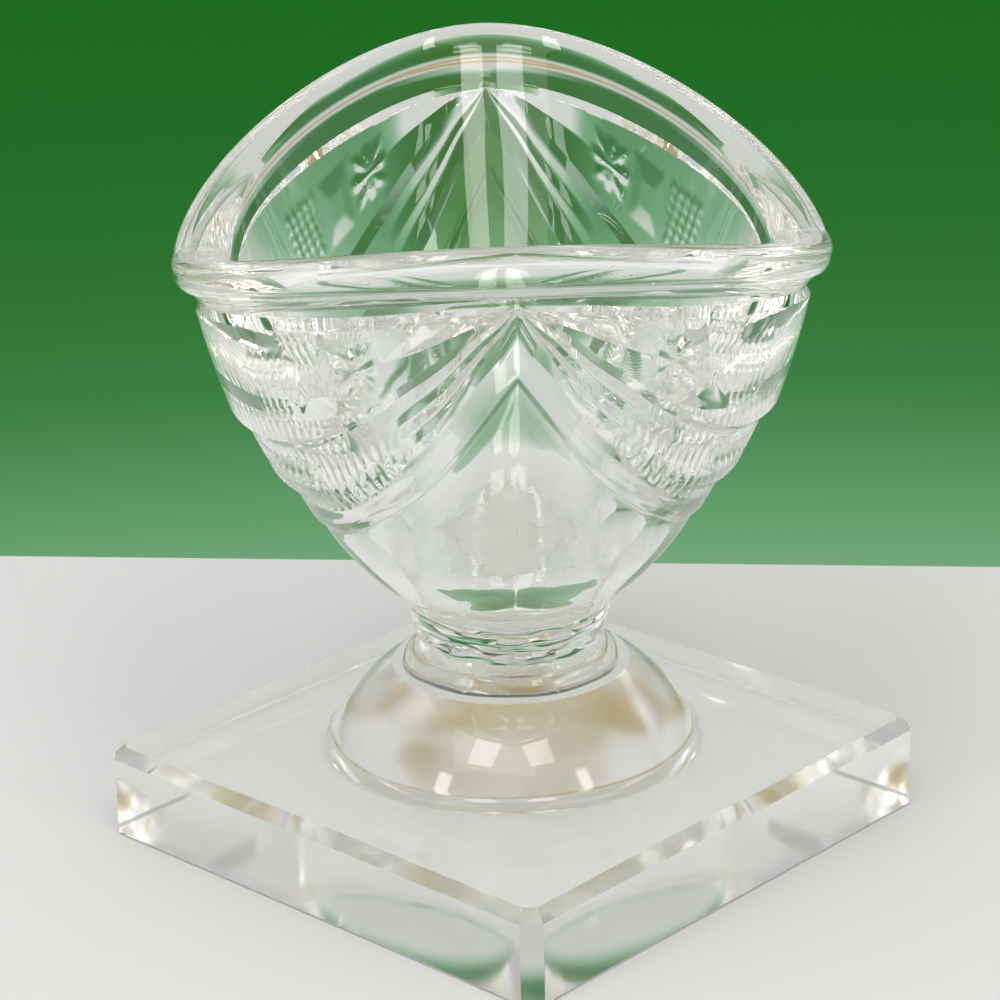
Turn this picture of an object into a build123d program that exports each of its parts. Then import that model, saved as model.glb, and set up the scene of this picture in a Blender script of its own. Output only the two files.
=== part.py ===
"""Boat-shaped cut-glass salt cellar on a square domed foot.

Three glass pieces stand one on another: the square foot with its dome, a joining wafer, and the cut bowl
with its short neck. +Z is up, the bowl's length runs along Y and its beam along X, the plinth's corners
point along X and Y, and the origin is the middle of the plinth's underside.
"""

import os

from build123d import *

os.makedirs("parts", exist_ok=True)

# Foot: square plinth with ground bevels, and the dome pressed in one with it.
plinth_side = 57.0
plinth_height = 9.15
plinth_bevel = 1.1
corner_chamfer = 1.5
dome_height = 7.85
dome_base_radius = 17.75
dome_top_radius = 11.6
dome_swell = 0.7
cove_reach = 1.75
cove_rise = 0.9

# Wafer: the disc of glass that joins the bowl's neck to the dome.
wafer_radius = 10.8
wafer_height = 1.75
wafer_edge_round = 0.6

# Bowl levels, each as a rise above the level below it, starting at the neck's underside.
neck_height = 1.95
throat_rise = 4.5
bilge_rise = 5.8
belly_rise = 12.0
shoulder_rise = 10.4
gunwale_rise = 6.0
prow_rise = 11.2

# Half widths of the plain bowl at those levels: across the beam, then along the length.
# Each level line is a superellipse, drawn through points at these slopes from the axis; the neck's is round.
neck_radius = 9.3
throat_half_beam, throat_half_length = 11.2, 12.0
bilge_half_beam, bilge_half_length = 16.7, 18.8
belly_half_beam, belly_half_length = 23.0, 28.5
shoulder_half_beam, shoulder_half_length = 26.5, 34.4
gunwale_half_beam, gunwale_half_length = 27.9, 37.4
prow_half_beam, prow_half_length = 29.0, 43.4
round_exponent = 2.0
plan_exponent = 1.85
plan_slopes = (0.45, 1, 2.2)
sheer_exponent = 1.27

# Hollow: its floor above the neck's underside, and the plain wall at each level.
floor_rise = 5.65
floor_radius = 3.0
bilge_wall = 5.45
belly_wall = 5.2
shoulder_wall = 3.6
gunwale_wall = 2.5
prow_wall = 0.7

# Cut tiers: how far each stands out from the plain bowl, and the bands under the rim.
skirt_proud = 0.5
blaze_proud = 1.4
hatch_proud = 2.3
cove_proud = 1.6
lip_proud = 3.0
lip_depth = 3.3
cove_depth = 2.9

# Swags: the fan point's depth under the prow, and each swag's droop and reach at the beam.
fan_depth = 6.2
hatch_droop, hatch_reach, hatch_sag = 19.5, 21.8, 0.25
blaze_droop, blaze_reach, blaze_sag = 25.9, 17.9, 1.6
skirt_droop, skirt_reach, skirt_sag = 23.7, 18.3, 1.4
skirt_drop = 6.8

# Heights that follow from the sizes above.
dome_top = plinth_height + dome_height
wafer_top = dome_top + wafer_height
neck_top = wafer_top + neck_height
throat_level = neck_top + throat_rise
bilge_level = throat_level + bilge_rise
belly_level = bilge_level + belly_rise
shoulder_level = belly_level + shoulder_rise
gunwale_level = shoulder_level + gunwale_rise
prow_level = gunwale_level + prow_rise
floor_level = wafer_top + floor_rise
fan_level = prow_level - fan_depth

# The level lines run on past the prow with the same flare, so that the sheer cut leaves a clean rim.
trim_share = 0.5
sheer_shares = (0.2, 0.5, 1, 1 + trim_share)
trim_level = prow_level + prow_rise * trim_share
trim_half_beam = prow_half_beam + (prow_half_beam - gunwale_half_beam) * trim_share
trim_half_length = prow_half_length + (prow_half_length - gunwale_half_length) * trim_share
rim_half_length = prow_half_length + lip_proud
outside_reach = prow_half_length + prow_half_beam

# Each level of the plain bowl above the neck: height, half beam, half length, wall to the hollow.
levels = [
    (throat_level, throat_half_beam, throat_half_length, bilge_wall),
    (bilge_level, bilge_half_beam, bilge_half_length, bilge_wall),
    (belly_level, belly_half_beam, belly_half_length, belly_wall),
    (shoulder_level, shoulder_half_beam, shoulder_half_length, shoulder_wall),
    (gunwale_level, gunwale_half_beam, gunwale_half_length, gunwale_wall),
    (prow_level, prow_half_beam, prow_half_length, prow_wall),
    (trim_level, trim_half_beam, trim_half_length, prow_wall),
]


def level_line(height, half_beam, half_length, exponent=plan_exponent):
    """A quarter of one level: scaled x and y, each to the exponent, add up to one."""
    quarter = []
    for slope in plan_slopes:
        reach = (1 + slope**exponent) ** (-1 / exponent)
        quarter.append((half_beam * reach, half_length * slope * reach))
    with BuildSketch(Plane.XY.offset(height)) as level:
        with BuildLine():
            Spline(
                (half_beam, 0), *quarter, (0, half_length),
                tangents=((0, 1), (-1, 0)), tangent_scalars=(1, 1),
            )
            Line((0, half_length), (0, 0))
            Line((0, 0), (half_beam, 0))
        make_face()
    return level.sketch


def outside_lines(proud):
    """Level lines of the bowl's outside, standing out from the plain bowl by proud."""
    neck = level_line(neck_top, neck_radius + proud, neck_radius + proud, round_exponent)
    return [neck] + [level_line(z, beam + proud, length + proud) for z, beam, length, _ in levels]


def above_swag(apex, droop, reach, sag):
    """Everything over an arc that falls from an apex on the keel to the beam, seen from the prow."""
    low = apex - droop
    with BuildSketch(Plane.XZ) as region:
        with BuildLine():
            SagittaArc((0, apex), (reach, low), -sag)
            Line((reach, low), (outside_reach, low))
            Line((outside_reach, low), (outside_reach, trim_level))
            Line((outside_reach, trim_level), (0, trim_level))
            Line((0, trim_level), (0, apex))
        make_face()
    return region.sketch


def above_sheer(depth):
    """Everything over the rim's sheer curve lowered by depth, seen from the beam."""
    start = (0, gunwale_level - depth)
    curve = [
        (rim_half_length * share, start[1] + prow_rise * share**sheer_exponent)
        for share in sheer_shares
    ]
    end = curve[-1]
    end_slope = sheer_exponent * (end[1] - start[1]) / end[0]
    ceiling = end[1] + prow_rise
    with BuildSketch(Plane.YZ) as region:
        with BuildLine():
            Spline(start, *curve, tangents=((1, 0), (1, end_slope)), tangent_scalars=(1, 1))
            Line(end, (end[0], ceiling))
            Line((end[0], ceiling), (0, ceiling))
            Line((0, ceiling), start)
        make_face()
    return region.sketch


with BuildPart() as foot:
    with BuildSketch():
        Rectangle(plinth_side, plinth_side, rotation=45)
    extrude(amount=plinth_height)
    chamfer(foot.edges().filter_by(Axis.Z), corner_chamfer)
    chamfer(foot.faces().sort_by(Axis.Z)[-1].edges(), plinth_bevel)
    cove_foot = (dome_base_radius + cove_reach, plinth_height)
    cove_head = (dome_base_radius, plinth_height + cove_rise)
    dome_head = (dome_top_radius, dome_top)
    with BuildSketch(Plane.XZ):
        with BuildLine():
            Line((0, plinth_height), cove_foot)
            TangentArc(cove_foot, cove_head, tangent=(-1, 0))
            SagittaArc(cove_head, dome_head, -dome_swell)
            Line(dome_head, (0, dome_top))
            Line((0, dome_top), (0, plinth_height))
        make_face()
    revolve(axis=Axis.Z)
foot.part.label = "square_foot"
export_step(foot.part, "parts/square_foot.step")

with BuildPart() as wafer:
    with BuildSketch(Plane.XY.offset(dome_top)):
        Circle(wafer_radius)
    extrude(amount=wafer_height)
    fillet(wafer.edges().filter_by(GeomType.CIRCLE), wafer_edge_round)
wafer.part.label = "joining_wafer"
export_step(wafer.part, "parts/joining_wafer.step")

# One quarter of each cut tier, of the cove and of the lip, trimmed to its own band.
with BuildPart() as skirt_tier:
    loft(outside_lines(skirt_proud))
    skirt_band = above_swag(fan_level - skirt_drop, skirt_droop, skirt_reach, skirt_sag)
    extrude(skirt_band, amount=-outside_reach, mode=Mode.INTERSECT)

with BuildPart() as blaze_tier:
    loft(outside_lines(blaze_proud))
    blaze_band = above_swag(fan_level, blaze_droop, blaze_reach, blaze_sag)
    extrude(blaze_band, amount=-outside_reach, mode=Mode.INTERSECT)

hatch_band = above_swag(fan_level, hatch_droop, hatch_reach, hatch_sag)
with BuildPart() as cove_tier:
    loft(outside_lines(cove_proud))
    extrude(hatch_band, amount=-outside_reach, mode=Mode.INTERSECT)

with BuildPart() as hatch_tier:
    loft(outside_lines(hatch_proud))
    extrude(hatch_band, amount=-outside_reach, mode=Mode.INTERSECT)
    extrude(above_sheer(lip_depth + cove_depth), amount=outside_reach, mode=Mode.SUBTRACT)

with BuildPart() as lip:
    loft(outside_lines(lip_proud))
    extrude(above_sheer(lip_depth), amount=outside_reach, mode=Mode.INTERSECT)

# The bowl: the plain quarter on its neck, with its tiers, hollowed, trimmed to the sheer and mirrored.
with BuildPart() as bowl:
    extrude(level_line(wafer_top, neck_radius, neck_radius, round_exponent), amount=neck_height)
    loft(outside_lines(0))
    for tier in (skirt_tier, blaze_tier, cove_tier, hatch_tier, lip):
        add(tier.part)
    hollow_lines = [level_line(floor_level, floor_radius, floor_radius)]
    for height, half_beam, half_length, wall in levels:
        if height > floor_level:
            hollow_lines.append(level_line(height, half_beam - wall, half_length - wall))
    loft(hollow_lines, mode=Mode.SUBTRACT)
    extrude(above_sheer(0), amount=outside_reach, mode=Mode.SUBTRACT)
    mirror(about=Plane.YZ)
    mirror(about=Plane.XZ)
bowl.part.label = "cut_bowl"
export_step(bowl.part, "parts/cut_bowl.step")
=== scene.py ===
"""Boat-shaped cut-glass salt cellar on a square domed foot, dressed for a render.

The sections follow the way the cellar is put together: the pressed foot, the joining wafer, the cut bowl, and then
the table, the light and the camera. Lengths are millimetres until a mesh or a light is made.
"""

import bpy
import numpy as np
from mathutils import Matrix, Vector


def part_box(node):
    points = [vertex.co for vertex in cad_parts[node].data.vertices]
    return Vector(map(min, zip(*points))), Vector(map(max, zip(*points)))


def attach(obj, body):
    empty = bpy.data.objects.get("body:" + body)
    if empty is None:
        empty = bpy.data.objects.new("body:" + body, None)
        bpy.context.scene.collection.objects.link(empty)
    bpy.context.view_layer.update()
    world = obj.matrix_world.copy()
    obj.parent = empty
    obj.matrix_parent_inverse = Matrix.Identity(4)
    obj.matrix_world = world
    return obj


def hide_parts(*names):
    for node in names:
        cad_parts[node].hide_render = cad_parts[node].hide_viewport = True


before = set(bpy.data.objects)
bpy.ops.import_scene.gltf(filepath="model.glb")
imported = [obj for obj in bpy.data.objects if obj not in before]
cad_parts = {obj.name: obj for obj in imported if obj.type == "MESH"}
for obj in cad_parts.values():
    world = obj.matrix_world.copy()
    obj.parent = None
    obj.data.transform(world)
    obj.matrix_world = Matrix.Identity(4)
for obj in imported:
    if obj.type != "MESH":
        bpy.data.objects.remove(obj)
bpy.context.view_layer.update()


# Square foot: a plinth and a dome pressed in one from clear lead crystal. The plinth is then ground square, its top
# edges bevelled and its corners blunted by hand, so that no two bevels are quite alike. Wear has left the foot a
# little hazy.
MM = 0.001
foot_low, foot_high = (np.array(corner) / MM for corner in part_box("square_foot"))
dome_top = foot_high[2]
plinth_height = 9.15
bevel = 1.1
bevel_wander, wander_waves, wander_phase = 0.12, 5, 0.6
arris = 0.25
corner_blunt = 1.5
half_diagonal = foot_high[0] + corner_blunt / np.sqrt(2)
ring_radius = 19.5
cove_reach, cove_rise = 1.75, 0.9
dome_top_radius = 11.6
dome_swell = 0.7
crown_radius = 1
foot_crease = 22
side_steps, top_steps, cove_steps, dome_steps, crown_steps = 56, 8, 8, 28, 4
underside_shares = (0.4, 0.8)
quarter_turn = np.array([[0, 1], [-1, 0]])


def plinth_loop(inset, height):
    """A square with blunted corners on the axes, drawn in by inset on every face: each side runs straight from one
    blunted corner to the next, and the blunting keeps its width as the square shrinks."""
    reach = half_diagonal - inset * np.sqrt(2)
    leg = corner_blunt - inset * (2 - np.sqrt(2))
    share = np.linspace(leg, reach * np.sqrt(2) - leg, side_steps + 1) / (reach * np.sqrt(2))
    side = np.stack([reach * (1 - share), reach * share], axis=1)
    flat = np.concatenate([side @ np.linalg.matrix_power(quarter_turn, k) for k in range(4)])
    return np.column_stack([flat, np.full(len(flat), height)])


def arc(share, start, end, swell):
    """Points from start to end in a radius and height plane, bowed outwards by swell at the middle of the chord."""
    start, end = np.array(start), np.array(end)
    chord = end - start
    outwards = np.array([chord[1], -chord[0]]) / np.hypot(*chord)
    return start + np.outer(share, chord) + np.outer(4 * swell * share * (1 - share), outwards)


def closed_surface(name, loops):
    """One closed mesh from loops stacked in order: neighbouring loops are joined by quads all the way round, and the
    first and last loops are closed by fans to their middle points. Loops run anticlockwise seen from outside the
    last one."""
    loops = np.asarray(loops, float)
    rows, columns, _ = loops.shape
    points = np.concatenate([loops.reshape(-1, 3), loops[0].mean(0)[None], loops[-1].mean(0)[None]])
    index = np.arange(rows * columns).reshape(rows, columns)
    after = np.roll(index, -1, axis=1)
    quads = np.stack([index[:-1], after[:-1], after[1:], index[1:]], axis=-1).reshape(-1, 4)
    first, last = rows * columns, rows * columns + 1
    fans = [np.column_stack([after[0], index[0], np.full(columns, first)]),
            np.column_stack([index[-1], after[-1], np.full(columns, last)])]
    mesh = bpy.data.meshes.new(name)
    mesh.from_pydata(points * MM, [], quads.tolist() + np.concatenate(fans).tolist())
    mesh.validate()
    piece = bpy.data.objects.new(name, mesh)
    bpy.context.scene.collection.objects.link(piece)
    return piece


def linear(hex_colour):
    """An sRGB hex colour as linear red, green, blue and one for alpha."""
    srgb = np.array([int(hex_colour[k:k + 2], 16) for k in (0, 2, 4)]) / 255
    return tuple(np.where(srgb <= 0.04045, srgb / 12.92, ((srgb + 0.055) / 1.055) ** 2.4)) + (1.0,)


def add(tree, kind, settings=None, inputs=None, **links):
    """Adds a node of that kind, sets its properties and its inputs' own values, and links sockets into its inputs.
    A key of inputs is a socket's name or number. A link's name is a socket's name with underscores for its spaces,
    or an underscore and the socket's number."""
    made = tree.nodes.new(kind)
    for key, value in (settings or {}).items():
        setattr(made, key, value)
    for key, value in (inputs or {}).items():
        made.inputs[key].default_value = value
    for key, socket in links.items():
        key = int(key[1:]) if key[0] == "_" else key.replace("_", " ")
        tree.links.new(socket, made.inputs[key])
    return made


def crystal(name, tint, index, least_haze, most_haze, wave_mm, wave_depth_mm, grit_mm, grit_depth_mm):
    """Clear lead crystal: it bends light by its index and hardly tints it. Polishing leaves slow waves, a finer
    orange-peel and a haze that varies with the waves between its least and its most."""
    made = bpy.data.materials.new(name)
    made.use_nodes = True
    tree = made.node_tree
    tree.nodes.clear()
    place = add(tree, "ShaderNodeTexCoord").outputs["Object"]
    waves = add(tree, "ShaderNodeTexNoise", None, {"Scale": 1 / (wave_mm * MM), "Detail": 1.5}, Vector=place)
    grit = add(tree, "ShaderNodeTexNoise", None, {"Scale": 1 / (grit_mm * MM), "Detail": 2.0}, Vector=place)
    slow = add(tree, "ShaderNodeBump", None, {"Distance": wave_depth_mm * MM}, Height=waves.outputs["Fac"])
    fine = add(tree, "ShaderNodeBump", None, {"Distance": grit_depth_mm * MM}, Height=grit.outputs["Fac"],
               Normal=slow.outputs["Normal"])
    polish = add(tree, "ShaderNodeMapRange", None,
                 {"From Min": 0.35, "From Max": 0.75, "To Min": least_haze, "To Max": most_haze},
                 Value=waves.outputs["Fac"])
    glass = add(tree, "ShaderNodeBsdfPrincipled", None,
                {"Base Color": linear(tint), "IOR": index, "Transmission Weight": 1.0},
                Roughness=polish.outputs["Result"], Normal=fine.outputs["Normal"])
    add(tree, "ShaderNodeOutputMaterial", Surface=glass.outputs["BSDF"])
    return made


def smoothed(piece, crease_degrees):
    """Shades a piece smoothly, with creases kept where its faces turn by more than an angle."""
    piece.data.shade_smooth()
    piece.data.set_sharp_from_angle(angle=np.radians(crease_degrees))


underside = plinth_loop(arris, 0)
side_loops = [underside * share for share in underside_shares]
side_loops += [plinth_loop(inset, height) for inset, height in (
    (arris, 0), (0, arris), (0, plinth_height - bevel), (bevel, plinth_height))]
top_edge = side_loops[-1]
heading_turn = np.arctan2(top_edge[:, 1], top_edge[:, 0])
heading = np.column_stack([np.cos(heading_turn), np.sin(heading_turn), np.zeros_like(heading_turn)])
top_edge -= heading * (bevel_wander * (1 + np.sin(wander_waves * heading_turn + wander_phase)))[:, None]
ring = heading * ring_radius + [0, 0, plinth_height]
top_loops = [top_edge + (ring - top_edge) * share for share in np.linspace(0, 1, top_steps + 1)[1:]]
cove_radius = (cove_reach**2 + cove_rise**2) / (2 * cove_rise)
cove_sweep = np.linspace(0, np.arcsin(cove_reach / cove_radius), cove_steps + 1)[1:]
cove = np.column_stack([ring_radius - cove_radius * np.sin(cove_sweep),
                        plinth_height + cove_radius * (1 - np.cos(cove_sweep))])
dome = arc(np.linspace(0, 1, dome_steps + 1)[1:], cove[-1], (dome_top_radius, dome_top), dome_swell)
crown = np.column_stack([np.linspace(dome_top_radius, crown_radius, crown_steps + 1)[1:],
                         np.full(crown_steps, dome_top)])
dome_loops = [heading * radius + [0, 0, height] for radius, height in np.concatenate([cove, dome, crown])]
square_foot = closed_surface("square_foot_glass", side_loops + top_loops + dome_loops)
smoothed(square_foot, foot_crease)
foot_glass = crystal("pressed_and_ground_crystal", "fafbf9", 1.52, 0.05, 0.12, 6.0, 0.02, 0.9, 0.001)
square_foot.data.materials.append(foot_glass)
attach(square_foot, "root")
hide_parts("square_foot")


# Joining wafer: a small gather of hot crystal, pressed between the dome and the bowl's neck and fused to both. It
# squeezed out unevenly into a flared collar with a wavy edge. Each end sinks a hair into its neighbour.
fuse = 0.05
wafer_low, wafer_high = (np.array(corner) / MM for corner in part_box("joining_wafer"))
wafer_columns, collar_rows = 192, 25
wafer_turn = np.linspace(0, 2 * np.pi, wafer_columns, endpoint=False)
collar_heights = np.array([0, 0.05, 0.2, 0.42, 0.66, 0.86, 1])
collar_radii = np.array([0.90, 0.965, 1.0, 0.985, 0.94, 0.905, 0.89]) * wafer_high[0]
slow_squeeze, quick_squeeze = 0.012, 0.009
slow_sway, quick_sway = 0.14, 0.1
wafer_crease = 60


def through(knots, values, at):
    """A smooth curve through the values at the knots: a cubic on each span, whose slope at a knot is the mean of the
    slopes beside it, each weighted by the other's span."""
    span = np.diff(knots)
    slope = np.diff(values) / span
    inner = (span[1:] * slope[:-1] + span[:-1] * slope[1:]) / (span[1:] + span[:-1])
    tangent = np.concatenate([slope[:1], inner, slope[-1:]])
    k = np.clip(np.searchsorted(knots, at, side="right") - 1, 0, len(span) - 1)
    w = (at - knots[k]) / span[k]
    return ((1 + 2 * w) * (1 - w) ** 2 * values[k] + w * (1 - w) ** 2 * span[k] * tangent[k]
            + w**2 * (3 - 2 * w) * values[k + 1] - w**2 * (1 - w) * span[k] * tangent[k + 1])


collar_share = np.linspace(0, 1, collar_rows)[:, None]
wafer_squeeze = (1 - slow_squeeze * (1 + np.sin(3 * wafer_turn + 0.7))
                 - quick_squeeze * (1 + np.sin(8 * wafer_turn + 2.1)))
wafer_reach = through(collar_heights, collar_radii, collar_share) * wafer_squeeze
wafer_sway = slow_sway * np.sin(2 * wafer_turn + 1.2) + quick_sway * np.sin(5 * wafer_turn)
wafer_sway = np.sin(np.pi * collar_share) ** 2 * wafer_sway
wafer_foot = wafer_low[2] - fuse
wafer_rise = wafer_foot + (wafer_high[2] + fuse - wafer_foot) * collar_share + wafer_sway
joining_wafer = closed_surface("joining_wafer_glass", np.stack(
    [wafer_reach * np.cos(wafer_turn), wafer_reach * np.sin(wafer_turn), wafer_rise], axis=-1))
smoothed(joining_wafer, wafer_crease)
wafer_glass = crystal("fire_polished_crystal", "fafbf9", 1.52, 0.0, 0.02, 2.5, 0.04, 0.8, 0.001)
joining_wafer.data.materials.append(wafer_glass)
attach(joining_wafer, "root")
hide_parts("joining_wafer")


# Cut bowl: one thick blank of lead crystal with its neck, wheel cut into three swagged tiers that meet in a fan at
# each prow, with a cove under a heavy lip. The upper swag carries a patch of crossed lines, a hollow window and a
# star, the middle one a row of teeth and lenses, and all of it is then polished.
bowl_low, bowl_high = (np.array(corner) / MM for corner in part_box("cut_bowl"))
rim_half_length = bowl_high[1]
prow_height = bowl_high[2]
sheer_rise, sheer_exponent = 11.2, 1.27
gunwale_height = prow_height - sheer_rise
plan_exponent = 1.85
round_height, round_fade = 20.7, 10.3
level_heights = np.array([18.0, 19.3, 20.7, 22.6, 25.2, 27.8, 31.0, 35.5, 43.0, 53.4, 59.4, 70.6, 76.2])
level_half_beams = np.array([9.1, 9.15, 9.3, 9.7, 11.2, 14.0, 16.7, 19.3, 23.0, 26.5, 27.9, 29.0, 29.55])
level_half_lengths = np.array([9.1, 9.15, 9.3, 9.8, 12.0, 15.3, 18.8, 22.8, 28.5, 34.4, 37.4, 43.4, 46.4])
hollow_heights = np.array([24.4, 24.6, 25.2, 27.0, 31.0, 36.0, 43.0, 53.4, 59.4, 70.6, 76.2])
hollow_half_beams = np.array([3.0, 4.2, 5.9, 8.0, 10.8, 13.9, 17.9, 23.1, 25.4, 28.2, 28.9])
hollow_half_lengths = np.array([3.2, 4.6, 6.7, 9.4, 12.9, 17.2, 23.4, 31.1, 35.0, 42.7, 45.9])
columns_per_quarter = 160
neck_rows, throat_rows, skirt_rows, blaze_rows, hatch_rows, hollow_rows = 15, 14, 6, 27, 43, 14
spacing_half_beam, spacing_half_length = 29, 37
bowl_crease = 28
lip_depth, lip_proud, rim_tilt, rim_crown = 3.3, 3.0, 0.3, 0.12
lip_shares = np.array([0, 0.06, 0.16, 0.3, 0.6, 0.8, 0.92, 1])
lip_stands = np.array([0.76, 0.87, 0.95, 1, 1, 0.955, 0.885, 0.8])
hatch_proud, blaze_proud, skirt_proud = 2.3, 1.4, 0.5
hatch_at_point, blaze_at_point, skirt_at_point = 0.4, 0.5, 0.4
fan_swing, fan_ease = 14, 0.7
tail_start, tail_end, tail_fade = 4, 26, 9
hatch_ledge_drop, hatch_ledge_swing = 1.1, 10
blaze_ledge_drop, point_ledge_drop, point_ledge_swing = 1.2, 1.6, 5
skirt_ledge_drop, skirt_swing = 1.2, 25
least_band = 0.02
neck_height = 24.4


def on_bowl(height, proud, half_beams=level_half_beams, half_lengths=level_half_lengths, heights=level_heights):
    """Points of the bowl at those heights, standing proud of the plain wall: a superellipse whose half beam and half
    length follow the levels, round at the neck and pointed above it."""
    exponent = 2 - (2 - plan_exponent) * np.clip((height - round_height) / round_fade, 0, 1)
    across = np.sign(np.sin(turn)) * np.abs(np.sin(turn)) ** (2 / exponent)
    along = -np.sign(np.cos(turn)) * np.abs(np.cos(turn)) ** (2 / exponent)
    beam = through(heights, half_beams, height) + proud
    length = through(heights, half_lengths, height) + proud
    return np.stack([beam * across, length * along, height + 0 * across], axis=-1)


def sheer(y):
    """Height of the rim's top over a place along the bowl: it climbs from the beam to the prow by a power law."""
    return gunwale_height + sheer_rise * (np.abs(y) / rim_half_length) ** sheer_exponent


def under_sheer(depth, proud, **wall):
    """Heights, one a column, at which the wall comes to that depth under the sheer, found by stepping towards it."""
    height = np.full(len(turn), gunwale_height)
    for _ in range(40):
        height = 0.5 * height + 0.5 * (sheer(on_bowl(height, proud, **wall)[:, 1]) - depth)
    return height


def between(low, high, shares):
    """Rows at those shares of the way from one row of heights or depths to another."""
    return low + (high - low) * np.asarray(shares)[:, None]


def groove(distance, half_width, depth):
    """A mitre cut: a V as deep as depth where distance is nought, and gone at half its width to either side."""
    return depth * np.clip(1 - np.abs(distance) / half_width, 0, 1)


def repeat(position, pitch):
    """Signed distance from the nearest of evenly pitched lines."""
    return (position + pitch / 2) % pitch - pitch / 2


even = np.linspace(0, np.pi / 2, 2001)
plan = np.stack([spacing_half_beam * np.sin(even) ** (2 / plan_exponent),
                 spacing_half_length * np.cos(even) ** (2 / plan_exponent)])
run = np.concatenate([[0], np.cumsum(np.hypot(*np.diff(plan)))])
quarter_run = run[-1]
quarter = np.interp(np.arange(columns_per_quarter) / columns_per_quarter * quarter_run, run, even)
mirrored = np.interp(np.arange(1, columns_per_quarter + 1) / columns_per_quarter * quarter_run, run, even)[::-1]
turn = np.concatenate([quarter, np.pi - mirrored, np.pi + quarter, 2 * np.pi - mirrored])
folded = np.arcsin(np.clip(np.abs(np.sin(turn)), 0, 1))
from_beam = quarter_run - np.interp(folded, even, run)
column_gap = quarter_run / columns_per_quarter
swing = np.degrees(np.arctan2(np.sin(folded) ** (2 / plan_exponent), np.cos(folded) ** (2 / plan_exponent)))
fan = np.clip(swing / fan_swing, 0, 1) ** fan_ease
tail = np.clip((tail_end - swing) / tail_fade, 0, 1) * np.clip(swing / tail_start, 0, 1)
hatch_stand = hatch_proud * (hatch_at_point + (1 - hatch_at_point) * fan)
blaze_stand = blaze_proud * (blaze_at_point + (1 - blaze_at_point) * fan)

lip_foot = under_sheer(lip_depth, lip_proud)
rim_outer = under_sheer(rim_crown, lip_proud)
hollow = dict(half_beams=hollow_half_beams, half_lengths=hollow_half_lengths, heights=hollow_heights)
rim_inner = rim_outer - rim_tilt
cove_height = through(np.array([0, 12, 24, 46, 57, 65, 90.0]), np.array([2.6, 3.0, 3.3, 3.0, 2.6, 2.3, 2.2]), swing)
hatch_foot = through(np.array([0, 7.6, 13, 20, 25, 30.5, 36.6, 44, 51, 57, 75, 90]),
                     np.array([64.4, 62.0, 59.3, 56.3, 54.1, 52.1, 50.05, 48.1, 46.9, 46.3, 45.4, 45.2]), swing)
blaze_foot = through(np.array([0, 2.5, 6.4, 10.4, 14.5, 19.5, 25, 32, 40, 47, 54, 75, 90]),
                     np.array([64.4, 61.7, 58.5, 55.2, 52.4, 49.8, 47.2, 44.4, 42.0, 40.6, 39.9, 39.0, 38.8]), swing)
skirt_foot = through(np.array([0, 6.6, 12.5, 22.5, 32, 38, 52, 70, 90]),
                     np.array([57.5, 52.6, 48.7, 43.9, 41.0, 39.5, 36.6, 34.8, 34.0]), swing)
hatch_top = np.maximum(lip_foot - cove_height, hatch_foot + least_band)
hatch_ledge = hatch_foot - hatch_ledge_drop * np.clip(swing / hatch_ledge_swing, 0, 1)
blaze_ledge = blaze_foot - blaze_ledge_drop - point_ledge_drop * np.exp(-swing / point_ledge_swing)
blaze_top = np.maximum(hatch_ledge, blaze_foot + least_band)
neck_foot = np.full(len(turn), bowl_low[2] - fuse)
neck_top = np.full(len(turn), neck_height)

rows = []
for share in (0.25, 0.6, 0.9):
    rows.append(on_bowl(neck_foot, 0) * [share, share, 1])
crinkle_depth, crinkle_pitch, crinkle_lean, crinkle_start, crinkle_fade = 0.13, 1.6, 0.8, 18.7, 1.5
ripple_depth, ripple_waves = 0.05, 11
for height in between(neck_foot, neck_top, np.linspace(0, 1, neck_rows)):
    crinkle_turn = 2 * np.pi * (height - crinkle_start) / crinkle_pitch + crinkle_lean * np.sin(3 * turn + 1)
    crinkle = crinkle_depth * np.sin(crinkle_turn) + ripple_depth * np.sin(ripple_waves * turn + height)
    rows.append(on_bowl(height, crinkle * np.clip((neck_height - height) / crinkle_fade, 0, 1)))
for height in between(neck_top, skirt_foot - skirt_ledge_drop, np.linspace(0, 1, throat_rows)[1:]):
    rows.append(on_bowl(height, 0))
skirt_swell = skirt_proud * (skirt_at_point + (1 - skirt_at_point) * np.clip(swing / skirt_swing, 0, 1))
for share in (0.25, 0.5, 0.75):
    rows.append(on_bowl(skirt_foot - skirt_ledge_drop * (1 - share), skirt_swell * share**2 * (3 - 2 * share)))
for height in between(skirt_foot, blaze_ledge, np.linspace(0, 1, skirt_rows)):
    rows.append(on_bowl(height, skirt_swell))

tooth_pitch, tooth_height, tooth_depth, tooth_start = 6 * column_gap, 1.7, 0.5, 22
lens_rise, lens_half_height, lens_half_width = 3.3, 1.35, 0.8
lens_lean, lens_depth, lens_start = 0.45, 0.3, 44
row_fade, low_ridge = 6, 0.25
for share in np.linspace(0, 1, blaze_rows):
    rise = (blaze_top - blaze_foot) * share
    notch_share = np.clip(1 - rise / tooth_height, 0.001, 1)
    notch = groove(repeat(from_beam, tooth_pitch), tooth_pitch / 2 * notch_share, tooth_depth * notch_share)
    up_lens = (rise - lens_rise) / lens_half_height
    across_lens = repeat(from_beam - lens_lean * (rise - lens_rise), tooth_pitch) / lens_half_width
    lens = lens_depth * np.clip(1 - across_lens**2 - up_lens**2, 0, 1)
    cut = (notch * np.clip((swing - tooth_start) / row_fade, 0, 1)
           + lens * np.clip((swing - lens_start) / row_fade, 0, 1))
    ridge = low_ridge * tail * (1 - np.abs((4 * share) % 2 - 1))
    rows.append(on_bowl(blaze_foot + rise, blaze_stand - cut + ridge))

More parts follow.
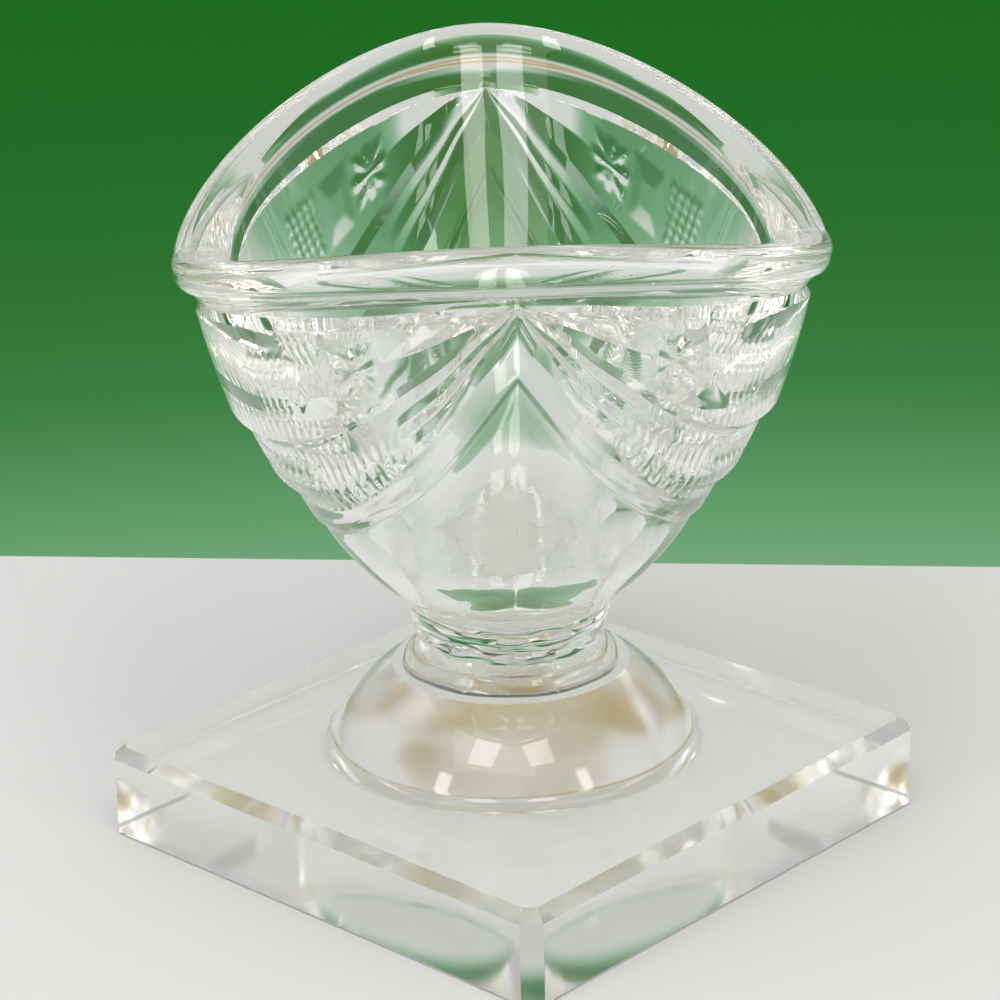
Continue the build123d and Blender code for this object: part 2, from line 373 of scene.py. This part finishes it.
patch_place, window_place, star_place = 25.0, 31.5, 37.0
line_pitch, line_half_width, steep_line_depth, slant_line_depth = 4 * column_gap, 0.4, 0.14, 0.1
steep_lean, slant_lean = 0.2, 1.1
patch_half_width, patch_half_height, patch_fade = 3.2, 3.4, 0.5
window_depth, window_half_width, window_half_height, window_flat = 0.35, 2.4, 3.2, 0.6
ray_half_width, upright_ray_depth, slant_ray_depth, ray_lean, ray_fade = 0.8, 0.34, 0.28, 0.8, 1.2
star_half_width, star_half_height = 2.4, 2.2
border_width, border_fade, cut_start, cut_fade = 0.5, 0.5, 22, 4
hatch_lean, high_ridge = 0.3, 0.55
for share in np.linspace(0, 1, hatch_rows):
    height = hatch_foot + (hatch_top - hatch_foot) * share
    rise = height - hatch_foot
    border = np.minimum(rise, hatch_top - height)
    up = rise - 0.5 * (hatch_top - hatch_foot)
    across_patch, across_window, across_star = (
        from_beam - place for place in (patch_place, window_place, star_place))
    in_patch = (np.clip((patch_half_width - np.abs(across_patch)) / patch_fade, 0, 1)
                * np.clip((patch_half_height - np.abs(up)) / patch_fade, 0, 1))
    lines = np.maximum(
        groove(repeat(from_beam + steep_lean * rise, line_pitch), line_half_width, steep_line_depth),
        groove(repeat(from_beam - slant_lean * rise, line_pitch), line_half_width, slant_line_depth)) * in_patch
    off_window = np.maximum(np.abs(across_window) / window_half_width, np.abs(up) / window_half_height)
    window = window_depth * np.clip(1 - off_window, 0, window_flat)
    near_star = (np.clip(star_half_width - np.abs(across_star) / ray_fade, 0, 1)
                 * np.clip(star_half_height - np.abs(up) / ray_fade, 0, 1))
    star = np.maximum.reduce([
        groove(across_star, ray_half_width, upright_ray_depth), groove(up, ray_half_width, upright_ray_depth),
        groove(across_star - ray_lean * up, ray_half_width, slant_ray_depth),
        groove(across_star + ray_lean * up, ray_half_width, slant_ray_depth)]) * near_star
    in_panel = (np.clip((border - border_width) / border_fade, 0, 1)
                * np.clip((swing - cut_start) / cut_fade, 0, 1))
    cut = np.maximum.reduce([star, lines, window]) * in_panel
    ridge = high_ridge * tail * (1 - np.abs(2 * share - 1))
    rows.append(on_bowl(height, hatch_stand - hatch_lean * share - cut + ridge))

cove_shares = np.array([0, 0.36, 0.7, 1.0])
cove_stands = np.array([2.0, 1.35, 1.6, 2.2])
prow_cove_stands = np.array([0.62, 0.75, 1.3, 2.0])
cove_swing, lip_gap = 22, 0.05
cove_blend = np.clip(swing / cove_swing, 0, 1)
for share in (0.09, 0.18, 0.27, 0.36, 0.47, 0.58, 0.7, 0.8, 0.9, 1):
    height = hatch_top + (lip_foot - lip_gap - hatch_top) * share
    stand_here = np.interp(share, cove_shares, cove_stands)
    stand_at_prow = np.interp(share, cove_shares, prow_cove_stands)
    rows.append(on_bowl(height, stand_at_prow + (stand_here - stand_at_prow) * cove_blend))
for share, stand in zip(lip_shares, lip_stands):
    rows.append(on_bowl(lip_foot + (rim_outer - lip_foot) * share, lip_proud * stand))

outer_edge = rows[-1]
inner_edge = on_bowl(rim_inner, 0, **hollow)
for share in (0.12, 0.5, 0.9):
    rows.append(outer_edge + (inner_edge - outer_edge) * share + [0, 0, rim_crown * np.sin(np.pi * share)])
floor_height = np.full(len(turn), hollow_heights[0])
for share in np.concatenate([[0.008, 0.03], np.linspace(0.07, 0.9, hollow_rows), [0.95, 0.98, 0.995, 1]]):
    rows.append(on_bowl(rim_inner + (floor_height - rim_inner) * share, 0, **hollow))
rows.append(rows[-1] * [0.4, 0.4, 1])

cut_bowl = closed_surface("cut_bowl_glass", np.stack(rows))
smoothed(cut_bowl, bowl_crease)
bowl_glass = crystal("wheel_cut_and_polished_crystal", "fafcfb", 1.53, 0.0, 0.015, 4.0, 0.01, 0.7, 0.0003)
cut_bowl.data.materials.append(bowl_glass)
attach(cut_bowl, "root")
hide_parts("cut_bowl")


# Table top: a plain pale sheet that stops a little way behind the cellar, with an air gap of a hair under the foot.
# Seen through clear glass it glows a little, and more so under the plinth, because real crystal lets the room's
# light through to it, where a render's shadow would be too dark.
table_half = 71.0
table_gap = 0.08
table_reach, back_right, back_left = 3, 0.608, 1.39
table_mesh = bpy.data.meshes.new("table_top")
table_corners = table_half * np.array([[-table_reach, -table_reach, 0], [table_reach, -table_reach, 0],
                                       [table_reach, back_right, 0], [-table_reach, back_left, 0]])
table_mesh.from_pydata((table_corners - [0, 0, table_gap]) * MM, [], [(0, 1, 2, 3)])
table = bpy.data.objects.new("table_top", table_mesh)
bpy.context.scene.collection.objects.link(table)
paper = bpy.data.materials.new("matt_pale_paper")
paper.use_nodes = True
paper_tree = paper.node_tree
paper_tree.nodes.clear()
room_glow, foot_glow = 0.16, 0.44
glow_start, glow_full = 1.1 * half_diagonal * MM, 0.95 * half_diagonal * MM
paper_place = add(paper_tree, "ShaderNodeTexCoord").outputs["Object"]
paper_spread = add(paper_tree, "ShaderNodeVectorMath", {"operation": "ABSOLUTE"}, None, _0=paper_place)
paper_spread = add(paper_tree, "ShaderNodeVectorMath", {"operation": "DOT_PRODUCT"}, {1: (1, 1, 0)},
                   _0=paper_spread.outputs["Vector"])
paper_glow = add(paper_tree, "ShaderNodeMapRange", None,
                 {"From Min": glow_start, "From Max": glow_full, "To Min": room_glow, "To Max": foot_glow},
                 Value=paper_spread.outputs["Value"])
paper_ray = add(paper_tree, "ShaderNodeLightPath")
paper_lift = add(paper_tree, "ShaderNodeMath", {"operation": "MULTIPLY"}, None, _0=paper_glow.outputs["Result"],
                 _1=paper_ray.outputs["Is Transmission Ray"])
paper_face = add(paper_tree, "ShaderNodeBsdfPrincipled", None,
                 {"Base Color": linear("dcdcda"), "Roughness": 0.7, "Emission Color": linear("f2f4f0")},
                 Emission_Strength=paper_lift.outputs[0])
add(paper_tree, "ShaderNodeOutputMaterial", Surface=paper_face.outputs["BSDF"])
table_mesh.materials.append(paper)


# Light: a green paper sweep behind the table, a pale room at the sides and a warm one overhead and behind the camera,
# which only sight, gloss and clear glass see. A soft even fill lights everything else, with a softbox over the table,
# two above the camera and a slim window at each side of it.
world = bpy.data.worlds.new("studio")
bpy.context.scene.world = world
world.use_nodes = True
sky = world.node_tree
sky.nodes.clear()
direction = add(sky, "ShaderNodeTexCoord").outputs["Generated"]
aspect = add(sky, "ShaderNodeSeparateXYZ", Vector=direction)
level_way = add(sky, "ShaderNodeCombineXYZ", X=aspect.outputs["X"], Y=aspect.outputs["Y"])
level_way = add(sky, "ShaderNodeVectorMath", {"operation": "NORMALIZE"}, None, _0=level_way.outputs["Vector"])
depthwise = add(sky, "ShaderNodeSeparateXYZ", Vector=level_way.outputs["Vector"]).outputs["Y"]
spread = add(sky, "ShaderNodeMapRange", None, {"From Min": -1.0, "From Max": 1.0}, Value=aspect.outputs["Z"])
backdrop_stops = [(-90, "dcdcd8"), (-24, "d3d7d0"), (-21.7, "7dad85"), (-20, "629c6a"), (-17.8, "3d7f43"),
                  (-15.5, "2c7330"), (-13, "236d28"), (-10, "1c6b1f"), (-2, "1f6c28"), (2, "8fb096"), (5, "c6cac4"),
                  (24, "c4c6c2"), (40, "c0bcac"), (52, "b6a476"), (75, "ae9a66"), (90, "bcae88")]
side_stops = [(-90, "dcdcd8"), (-26, "d4d8da"), (4, "d8dcde"), (14, "c4c8cc"),
              (32, "b8babc"), (50, "b4b4b2"), (90, "bcae88")]
front_stops = [(-90, "dcdcd8"), (-24, "b6c0b6"), (-4, "b6b094"), (12, "ae9862"),
               (26, "ae9a64"), (44, "b6a67a"), (90, "bcae88")]
back_edges, front_edges = (0.45, 0.75), (-0.45, -0.75)
fill_strength = 0.6
sweeps = []
for stops in (side_stops, backdrop_stops, front_stops):
    sweep = add(sky, "ShaderNodeValToRGB", Fac=spread.outputs["Result"])
    for k, (degrees, colour) in enumerate(stops):
        position = (np.sin(np.radians(degrees)) + 1) / 2
        stop = sweep.color_ramp.elements[k] if k < 2 else sweep.color_ramp.elements.new(position)
        stop.position = position
        stop.color = linear(colour)
    sweeps.append(sweep.outputs["Color"])
around = sweeps[0]
for sweep, edges in zip(sweeps[1:], (back_edges, front_edges)):
    share = add(sky, "ShaderNodeMapRange", {"interpolation_type": "SMOOTHSTEP"},
                {"From Min": edges[0], "From Max": edges[1]}, Value=depthwise)
    around = add(sky, "ShaderNodeMix", {"data_type": "RGBA"}, None, _0=share.outputs["Result"], _6=around,
                 _7=sweep).outputs[2]
seen = add(sky, "ShaderNodeLightPath")
sight = add(sky, "ShaderNodeMath", {"operation": "MAXIMUM"}, None, _0=seen.outputs["Is Camera Ray"],
            _1=seen.outputs["Is Glossy Ray"])
sight = add(sky, "ShaderNodeMath", {"operation": "MAXIMUM"}, None, _0=sight.outputs[0],
            _1=seen.outputs["Is Transmission Ray"])
direct = add(sky, "ShaderNodeMath", {"operation": "LESS_THAN"}, {1: 0.5}, _0=seen.outputs["Diffuse Depth"])
sight = add(sky, "ShaderNodeMath", {"operation": "MULTIPLY"}, None, _0=sight.outputs[0], _1=direct.outputs[0])
fill = add(sky, "ShaderNodeBackground", None, {"Color": linear("ffffff"), "Strength": fill_strength})
backdrop = add(sky, "ShaderNodeBackground", None, {"Strength": 1.0}, Color=around)
mixed = add(sky, "ShaderNodeMixShader", None, None, _0=sight.outputs[0], _1=fill.outputs[0], _2=backdrop.outputs[0])
add(sky, "ShaderNodeOutputWorld", Surface=mixed.outputs[0])


def softbox(name, place, aim, width, height, watts, colour):
    """A rectangular softbox at a place, facing an aim point, that the camera itself doesn't see. Its lengths are
    metres."""
    lamp = bpy.data.lights.new(name, "AREA")
    lamp.shape, lamp.size, lamp.size_y = "RECTANGLE", width, height
    lamp.energy, lamp.color = watts, linear(colour)[:3]
    box = bpy.data.objects.new(name, lamp)
    bpy.context.scene.collection.objects.link(box)
    back = np.array(place, float) - np.array(aim, float)
    back /= np.linalg.norm(back)
    side = np.cross([0, 0.01, 1], back)
    side /= np.linalg.norm(side)
    rise = np.cross(back, side)
    box.matrix_world = Matrix(np.vstack([np.column_stack([side, rise, back, place]), [0, 0, 0, 1.0]]).tolist())
    box.visible_camera = False
    return box


overhead = softbox("overhead_softbox", (-0.1, -0.32, 0.72), (0, 0, 0.03), 0.7, 0.7, 1.8, "ffffff")
overhead.visible_transmission = False
softbox("left_softbox", (-0.235, -0.44, 0.68), (0, 0, 0.05), 0.2, 0.26, 0.85, "fbf9ff")
softbox("right_softbox", (0.175, -0.465, 0.68), (0, 0, 0.05), 0.2, 0.26, 0.85, "fffaf4")
softbox("left_window", (-0.5, -0.44, 0.24), (0, 0, 0.04), 0.1, 0.36, 1.0, "fbf9ff")
softbox("right_window", (0.46, -0.46, 0.24), (0, 0, 0.04), 0.08, 0.36, 0.8, "fffaf4")


# Camera: at the photograph's height and distance, with a long lens, and turned and rolled as the photograph was.
# Light may bounce often enough to pass through all of the crystal's walls.
focal_pixels, image_pixels, sensor = 3200.0, 1000.0, 36.0
pitch, roll, swivel = np.radians([19.844, -1.458, 1.6])
camera_stand = np.array([-0.7, -289.3, 137.75])
ahead = np.array([0, np.cos(pitch), -np.sin(pitch)])
upward = np.array([0, np.sin(pitch), np.cos(pitch)])
right = np.array([1.0, 0, 0])
rolled_right = right * np.cos(roll) + upward * np.sin(roll)
rolled_up = upward * np.cos(roll) - right * np.sin(roll)
about = np.array([[np.cos(swivel), np.sin(swivel), 0], [-np.sin(swivel), np.cos(swivel), 0], [0, 0, 1]])
optics = bpy.data.cameras.new("camera")
optics.sensor_width = sensor
optics.lens = focal_pixels / image_pixels * sensor
optics.clip_start, optics.clip_end = 0.01, 10
camera = bpy.data.objects.new("camera", optics)
bpy.context.scene.collection.objects.link(camera)
pose = np.eye(4)
pose[:3, :3] = about @ np.column_stack([rolled_right, rolled_up, -ahead])
pose[:3, 3] = about @ camera_stand * MM
camera.matrix_world = Matrix(pose.tolist())
bpy.context.scene.camera = camera

scene = bpy.context.scene
scene.view_settings.view_transform = "Standard"
scene.cycles.max_bounces = 40
scene.cycles.transmission_bounces = 40
scene.cycles.glossy_bounces = 24
